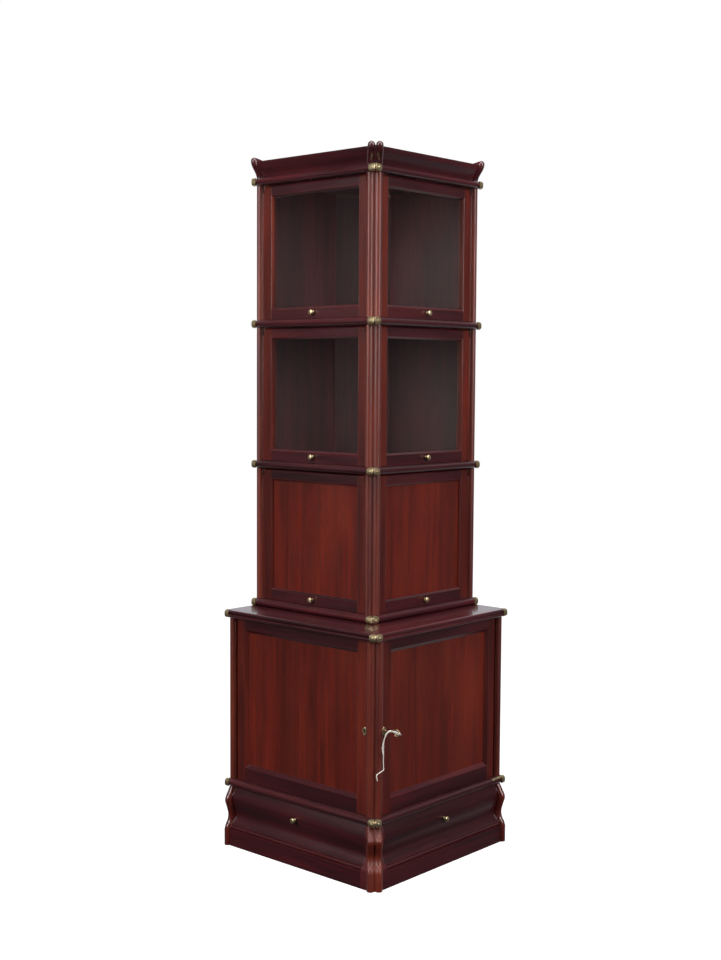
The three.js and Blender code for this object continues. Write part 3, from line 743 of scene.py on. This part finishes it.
def made_door(node, pane, face, body, widths, pane_half, joints=()):
    """A door frame of stiles, rails and mitred mouldings, with its panel or pane."""
    low, high = box_on_face(node, face)
    face_y = low.y
    moulding, setback = widths["moulding"], widths["setback"]
    pane_y = face_y + setback
    ring_low = low + Vector((widths["near"] - moulding, 0, widths["bottom"] - moulding))
    ring_high = high - Vector((widths["far"] - moulding, 0, widths["top"] - moulding))
    front = bevel(moulding, setback - pane_half - 0.1)
    groove = setback + pane_half + 0.1
    back = [(0, groove), (0, DOOR_THICKNESS), (3.4, DOOR_THICKNESS),
            (moulding, DOOR_THICKNESS - 1.8), (moulding, groove)]
    shells = [
        *frame_members(node, face, ring_low, ring_high),
        *mitred_ring(front, ring_low, ring_high, face_y),
        *mitred_ring(back, ring_low, ring_high, face_y),
    ]
    placed = [(facing(shell, face), finish) for shell, finish in shells]
    made = shown(f"{node}_joinery", joined(placed), [upright, lengthwise], 0.35, arris_wood)
    fitted(made, body, "frame_wood", node)

    edge = Vector((0.6, 0, 0.6))
    pane_low, pane_high = ring_low + edge, ring_high - edge
    if joints:
        boards = panel_boards(pane_low, pane_high, pane_y, pane_half, joints)
        boards = [(facing(shell, face), finish) for shell, finish in boards]
        made = shown(f"{pane}_boards", joined(boards), [panel_wood], 0.3, panel_wood)
        fitted(made, body, "panel_wood", pane)
    else:
        sheet = block((pane_low.x, pane_y - pane_half, pane_low.z),
                      (pane_high.x, pane_y + pane_half, pane_high.z))
        made = shown(f"{pane}_sheet", joined([(facing(sheet, face), 0)]), [glass], 0.2)
        fitted(made, body, "glass", pane)


LOW_JOINTS = {"right": (0.31, 0.72), "left": (0.44, 0.81)}
BASE_JOINTS = {"right": (0.27, 0.63), "left": (0.20, 0.33, 0.52, 0.70)}
for face in FACES:
    for section in SECTIONS:
        panelled = section == "low"
        kind = "panel" if panelled else "glass"
        made_door(f"door_{section}_{face}", f"{kind}_{section}_{face}", face,
                  f"{section}_{face}_door", UPPER_FRAME, 3.0 if panelled else 1.5,
                  LOW_JOINTS[face] if panelled else ())
    made_door(f"cupboard_door_{face}", f"cupboard_panel_{face}", face,
              f"cupboard_{face}_door", BASE_FRAME, 3.0, BASE_JOINTS[face])


# ---- turned knobs ---------------------------------------------------------------------------
KNOB_PROFILE = [
    (0, 0), (5.2, 0), (5.5, 0.4), (5.5, 1.0), (4.8, 1.7), (3.3, 2.6), (2.9, 4.0), (3.0, 5.5),
    (4.6, 6.3), (6.8, 7.0), (7.7, 8.1), (8.0, 9.3), (7.8, 10.6), (6.9, 11.8), (5.0, 12.6),
    (2.5, 13.0), (0, 13.0),
]


def turned_knob(node, face, body):
    """A small brass knob: a rose against the wood, a waisted neck and a flat button."""
    low, high = box_on_face(node, face)
    knob = moved(turned(KNOB_PROFILE), (low.x + high.x) / 2, high.y, (low.z + high.z) / 2)
    made = shown(f"{node}_turned", joined([(facing(knob, face), 0)]), [brass])
    fitted(made, body, "brass", node)


for face in FACES:
    for section in SECTIONS:
        turned_knob(f"knob_{section}_{face}", face, f"{section}_{face}_door")
    turned_knob(f"drawer_knob_{face}", face, f"{face}_drawer")


# ---- brass fittings on the beads ------------------------------------------------------------
JOINTS = [
    ("upper", 683.0), ("upper", 1080.3), ("upper", 1477.6), ("upper", 1874.9),
    ("base", 177.0), ("base", 662.25),
]
WRAP = math.radians(84)                   # how far a fitting wraps the bead, up and down
SQUARENESS = 0.7                          # 1 is as round as the bead, 0 is square
CORNER_REACH = 15.6                       # corner plate, past the crown line along the face


def rounded(share, power=2.4):
    """The outline of a rounded end: 1 in the middle and 0 at the two edges."""
    return max(0.0, 1 - abs(share) ** power) ** (1 / power)


def round_bead(turn, lift):
    """A point of a fitting's section at an angle round the bead, squarer than the bead is, for
    a crown line at y = 0 and a joint at height 0."""
    out = math.cos(turn) ** SQUARENESS
    up = math.copysign(abs(math.sin(turn)) ** SQUARENESS, turn)
    return (BEAD_DEPTH - BEAD_REACH - (BEAD_DEPTH + lift) * out, (BEAD_HALF + lift * 0.6) * up)


def corner_plate(u, v, side):
    """One lobe of a corner clip, for a crown line at the origin and a joint at height 0. It
    starts at the mitre and ends round, and is pillowed like a cast one."""
    turn = (2 * v - 1) * WRAP
    pillow = rounded(2 * u - 1, 3) * rounded(2 * v - 1, 3)
    lift = side * (1.2 + 1.2 * pillow) - (1 - side) * 0.1
    y, z = round_bead(turn, lift)
    start = y + 1.4
    end = 1.5 + (CORNER_REACH - 1.5) * rounded(2 * v - 1)
    return (start + (end - start) * u, y, z)


def end_cap(u, v, side):
    """A thimble on a bead's far end, for a crown line at the origin, a joint at height 0 and the
    bead's end at 0 along the face."""
    turn = (2 * v - 1) * WRAP
    lift = side * 2.8 - (1 - side) * 0.05
    bend = 0.62
    y, z = round_bead(turn, lift)
    if u < bend:
        along = -13.0 * rounded(2 * v - 1) * (1 - u / bend) + (0.15 + side) * u / bend
        return (along, y, z)
    inside = (u - bend) / (1 - bend) * math.pi / 2
    along = 0.15 + side * (1.0 + 0.9 * math.sin(inside))
    middle = BEAD_DEPTH - BEAD_REACH
    return (along, middle + (y - middle) * math.cos(inside), z * math.cos(inside))


def strap(u, v, side):
    """A thin strap along the top of a bead, from 52 to 10 mm before its far end."""
    turn = math.radians(34 + 34 * v)
    lift = side * 1.1
    y = BEAD_DEPTH - BEAD_REACH - (BEAD_DEPTH + lift) * math.cos(turn)
    return (-52 + 42 * u, y, (BEAD_HALF + lift) * math.sin(turn))


def points_object(name, places):
    """A mesh of loose points, each (place in metres, the way it faces)."""
    shell = bmesh.new()
    facings = shell.verts.layers.float_vector.new("facing")
    for place, way in places:
        shell.verts.new(place)[facings] = way
    return shown_points(name, shell)


def shown_points(name, shell):
    """Links a mesh as an object with nothing on it yet."""
    mesh = bpy.data.meshes.new(name)
    shell.to_mesh(mesh)
    shell.free()
    made = bpy.data.objects.new(name, mesh)
    bpy.context.scene.collection.objects.link(made)
    return made


def new_tree(name, inputs):
    """An empty Geometry Nodes tree with points in, a body out and its named inputs."""
    tree = bpy.data.node_groups.new(name, "GeometryNodeTree")
    tree.interface.new_socket("Places", in_out="INPUT", socket_type="NodeSocketGeometry")
    for label, kind in inputs:
        tree.interface.new_socket(label, in_out="INPUT", socket_type=kind)
    tree.interface.new_socket("Fittings", in_out="OUTPUT", socket_type="NodeSocketGeometry")
    return tree


def ended(tree, instances, finish):
    """Realizes instances, gives them their finish and hands them out."""
    real = add(tree, "GeometryNodeRealizeInstances", {0: instances})
    smooth = add(tree, "GeometryNodeSetShadeSmooth", {0: real.outputs[0]})
    painted = add(tree, "GeometryNodeSetMaterial",
                  {"Geometry": smooth.outputs[0], "Material": finish})
    add(tree, "NodeGroupOutput", {0: painted.outputs[0]})


def fitting_tree():
    """Sets one cast fitting at every point."""
    tree = new_tree("cast_fittings", [("Casting", "NodeSocketObject"),
                                      ("Finish", "NodeSocketMaterial")])
    given = add(tree, "NodeGroupInput").outputs
    casting = add(tree, "GeometryNodeObjectInfo", {"Object": given["Casting"]})
    each = add(tree, "GeometryNodeInstanceOnPoints", {
        "Points": given["Places"], "Instance": casting.outputs["Geometry"]})
    ended(tree, each.outputs[0], given["Finish"])
    return tree


def screw_tree():
    """Sets a slotted round-head screw at every point, standing along the point's facing."""
    tree = new_tree("round_head_screws", [
        ("Head width", "NodeSocketFloat"), ("Head height", "NodeSocketFloat"),
        ("Slot width", "NodeSocketFloat"), ("Finish", "NodeSocketMaterial")])
    given = add(tree, "NodeGroupInput").outputs
    ball = add(tree, "GeometryNodeMeshUVSphere", {"Segments": 16, "Rings": 8, "Radius": 0.5})
    twice = add(tree, "ShaderNodeMath", {0: given["Head height"], 1: 2.0}, operation="MULTIPLY")
    size = add(tree, "ShaderNodeCombineXYZ", {
        0: given["Head width"], 1: given["Head width"], 2: twice.outputs[0]})
    head = add(tree, "GeometryNodeTransform", {
        "Geometry": ball.outputs[0], "Scale": size.outputs[0]})
    slot_size = add(tree, "ShaderNodeCombineXYZ", {
        0: given["Slot width"], 1: twice.outputs[0], 2: given["Head height"]})
    long_slot = add(tree, "ShaderNodeVectorMath", {
        0: slot_size.outputs[0], 1: (1.0, 4.0, 1.0)}, operation="MULTIPLY")
    bar = add(tree, "GeometryNodeMeshCube", {"Size": long_slot.outputs[0]})
    up = add(tree, "ShaderNodeCombineXYZ", {2: given["Head height"]})
    raised = add(tree, "GeometryNodeTransform", {
        "Geometry": bar.outputs[0], "Translation": up.outputs[0]})
    slotted = add(tree, "GeometryNodeMeshBoolean", {
        "Mesh 1": head.outputs[0], "Mesh 2": raised.outputs[0]}, operation="DIFFERENCE")
    way = add(tree, "GeometryNodeInputNamedAttribute", {"Name": "facing"},
              data_type="FLOAT_VECTOR")
    turn = add(tree, "FunctionNodeAlignRotationToVector", {"Vector": way.outputs[0]}, axis="Z")
    each = add(tree, "GeometryNodeInstanceOnPoints", {
        "Points": given["Places"], "Instance": slotted.outputs[0],
        "Rotation": turn.outputs[0]})
    ended(tree, each.outputs[0], given["Finish"])
    return tree


def grown(name, places, tree, values):
    """The plain mesh that a tree makes of points, as an object."""
    made = points_object(name, places)
    nodes = made.modifiers.new("fittings", "NODES")
    nodes.node_group = tree
    sockets = {s.name: s.identifier for s in tree.interface.items_tree}
    for label, value in values.items():
        nodes[sockets[label]] = value
    made.update_tag()
    bpy.context.view_layer.update()
    made.data = plain_mesh(made)
    made.data.shade_smooth()
    made.data.set_sharp_from_angle(angle=math.radians(40))
    return made


fittings = fitting_tree()
screws = screw_tree()
NO_WAY = (0.0, 0.0, 1.0)

corner_places = [(Vector((-FRONTS[part], -FRONTS[part], z)) * MM, NO_WAY) for part, z in JOINTS]
lobes = [(facing(plate(corner_plate, 18, 18), face), 0) for face in FACES]
casting = shown_points("corner_casting", joined(lobes))
corners = grown("corner_clips", corner_places, fittings, {"Casting": casting, "Finish": brass})
fitted(corners, "case", "brass")
bpy.data.objects.remove(casting)

for face in FACES:
    casting = shown_points("cap_casting", joined([(facing(plate(end_cap, 20, 16), face), 0)]))
    places = []
    for part, z in JOINTS:
        place = Vector((HALF, -FRONTS[part], z))
        if face == "left":
            place = Vector((place.y, place.x, z))
        places.append((place * MM, NO_WAY))
    caps = grown(f"bead_caps_{face}", places, fittings, {"Casting": casting, "Finish": brass})
    fitted(caps, "case", "brass")
    bpy.data.objects.remove(casting)

top_strap = moved(plate(strap, 8, 4), HALF, -FRONTS["base"], 177.0)
fitted(shown("middle_joint_strap", joined([(top_strap, 0)]), [brass], 0.2), "case", "brass")

# Screws in the clips and caps, and the brass screws that hold the plain backs.
screw_places = []
for part, z in JOINTS:
    front = FRONTS[part]
    proud = front + BEAD_REACH + 2.0
    cap_middle = front + BEAD_REACH - 6.5
    for place, way in (
        ((3.0 - front, -proud, z), (0, -1, 0)),
        ((HALF + 1.8, -cap_middle, z), (1, 0, 0)),
    ):
        screw_places.append((Vector(place) * MM, way))
        screw_places.append((Vector((place[1], place[0], z)) * MM, (way[1], way[0], way[2])))
fitted(
    grown("clip_screws", screw_places, screws, {
        "Head width": 6.6 * MM, "Head height": 2.1 * MM, "Slot width": 0.9 * MM,
        "Finish": brass}),
    "case", "brass")

BACK_SCREW_INSET = 14.0
CHAMFER_START = 164.5                     # where the chamfered back's outer face begins
BACK_ENDS = ((HALF, CHAMFER_START), (CHAMFER_START, HALF))
BACK_SPANS = ((70.0, 640.0), (700.0, 1063.0), (1098.0, 1460.0), (1495.0, 1857.0))
back_places = []
BACK_WAY = Vector((1, 1, 0)).normalized()
for low_z, high_z in BACK_SPANS:
    for start, end in (BACK_ENDS, BACK_ENDS[::-1]):
        along = (Vector((*end, 0)) - Vector((*start, 0))).normalized()
        for share in (0.04, 0.35, 0.65, 0.96):
            place = Vector((*start, low_z + (high_z - low_z) * share)) + along * BACK_SCREW_INSET
            back_places.append((place * MM, BACK_WAY))
fitted(
    grown("back_screws", back_places, screws, {
        "Head width": 7.5 * MM, "Head height": 1.5 * MM, "Slot width": 1.0 * MM,
        "Finish": brass}),
    "case", "brass")


# ---- keyhole plates -------------------------------------------------------------------------
def keyhole_plate(face):
    """An oval brass plate round a keyhole, with two pins."""
    key_low, key_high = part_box("key")
    door_low, _ = box_on_face(f"cupboard_door_{face}", face)
    x = (key_low.x + key_high.x) / 2 / MM
    z = (key_low.z + key_high.z) / 2 / MM
    count = 48
    outer, inner = [], []
    for i in range(count):
        angle = 2 * math.pi * i / count
        across, up = math.cos(angle), math.sin(angle)
        outer.append((7.2 * across, 11.5 * up - 1.5))
        hole = [2.9 * across, 2.9 * up]
        if up < -0.89:                    # the slot under the round hole
            hole[0] = max(-1.3, min(1.3, hole[0]))
        if up < -0.94:
            hole[1] = -8.0
        inner.append(hole)
    rows = [(outer, 0.0), (outer, 0.7), ([(a * 0.93, b * 0.94) for a, b in outer], 1.1),
            (inner, 1.1), (inner, 0.0)]
    shell = bmesh.new()
    rings = [[shell.verts.new(Vector((x + a, door_low.y - out, z + b)) * MM) for a, b in ring]
             for ring, out in rows]
    for first, second in zip(rings, rings[1:] + rings[:1]):
        for i in range(count):
            j = (i + 1) % count
            shell.faces.new((first[i], first[j], second[j], second[i]))
    bmesh.ops.recalc_face_normals(shell, faces=shell.faces)
    body = f"cupboard_{face}_door"
    made = shown(f"keyhole_plate_{face}", joined([(facing(shell, face), 0)]), [brass])
    fitted(made, body, "brass")
    pins = []
    for height in (7.4, -10.4):
        place = Vector((x, door_low.y - 0.9, z + height))
        way = (0, -1, 0)
        if face == "left":
            place, way = Vector((place.y, place.x, place.z)), (-1, 0, 0)
        pins.append((place * MM, way))
    fitted(
        grown(f"keyhole_pins_{face}", pins, screws, {
            "Head width": 2.0 * MM, "Head height": 0.7 * MM, "Slot width": 0.2 * MM,
            "Finish": brass}),
        body, "brass")


for face in FACES:
    keyhole_plate(face)


# ---- studio ---------------------------------------------------------------------------------
def soft_light(name, place, target, size, watts, colour="ffffff"):
    """A rectangular soft box."""
    lamp = bpy.data.lights.new(name, "AREA")
    lamp.shape = "RECTANGLE"
    lamp.size, lamp.size_y = size
    lamp.energy = watts
    lamp.color = linear(colour)[:3]
    made = bpy.data.objects.new(name, lamp)
    made.matrix_world = aimed(Vector(place), (Vector(target) - Vector(place)).normalized())
    bpy.context.scene.collection.objects.link(made)


def studio_world():
    """A white room that is bright behind the bookcase and dim in front of it, where the camera
    and the dark half of a studio are. A ray from the camera that meets nothing sees white."""
    world = bpy.data.worlds.new("studio")
    world.use_nodes = True
    tree = world.node_tree
    tree.nodes.clear()
    way = add(tree, "ShaderNodeTexCoord").outputs["Generated"]
    level = Vector((FORWARD.x, FORWARD.y, 0)).normalized()
    ahead = add(tree, "ShaderNodeVectorMath", {0: way, 1: level}, operation="DOT_PRODUCT")
    strength = spread(tree, ahead.outputs["Value"], 0.3, 0.75, 0.03, 0.8)
    lit = add(tree, "ShaderNodeBackground", {"Color": linear("f3f4fb"), "Strength": strength})
    white = add(tree, "ShaderNodeBackground", {"Color": (1, 1, 1, 1), "Strength": 1.0})
    path = add(tree, "ShaderNodeLightPath")
    both = add(tree, "ShaderNodeMixShader", {
        0: path.outputs["Is Camera Ray"], 1: lit.outputs[0], 2: white.outputs[0]})
    add(tree, "ShaderNodeOutputWorld", {"Surface": both.outputs[0]})
    bpy.context.scene.world = world


studio_world()
soft_light("overhead", (-0.9, -0.9, 4.2), (0, 0, 1.0), (3.0, 3.0), 130)
soft_light("left_box", (-4.2, 0.6, 2.4), (0, 0, 1.0), (1.6, 2.4), 135)
soft_light("right_box", (0.2, -4.4, 2.4), (0, 0, 1.0), (1.6, 2.4), 135)

floor_shell = bmesh.new()
bmesh.ops.create_grid(floor_shell, x_segments=8, y_segments=8, size=14)
floor = shown("floor", floor_shell, [floor_paint()])
floor.visible_diffuse = False
floor.visible_glossy = False
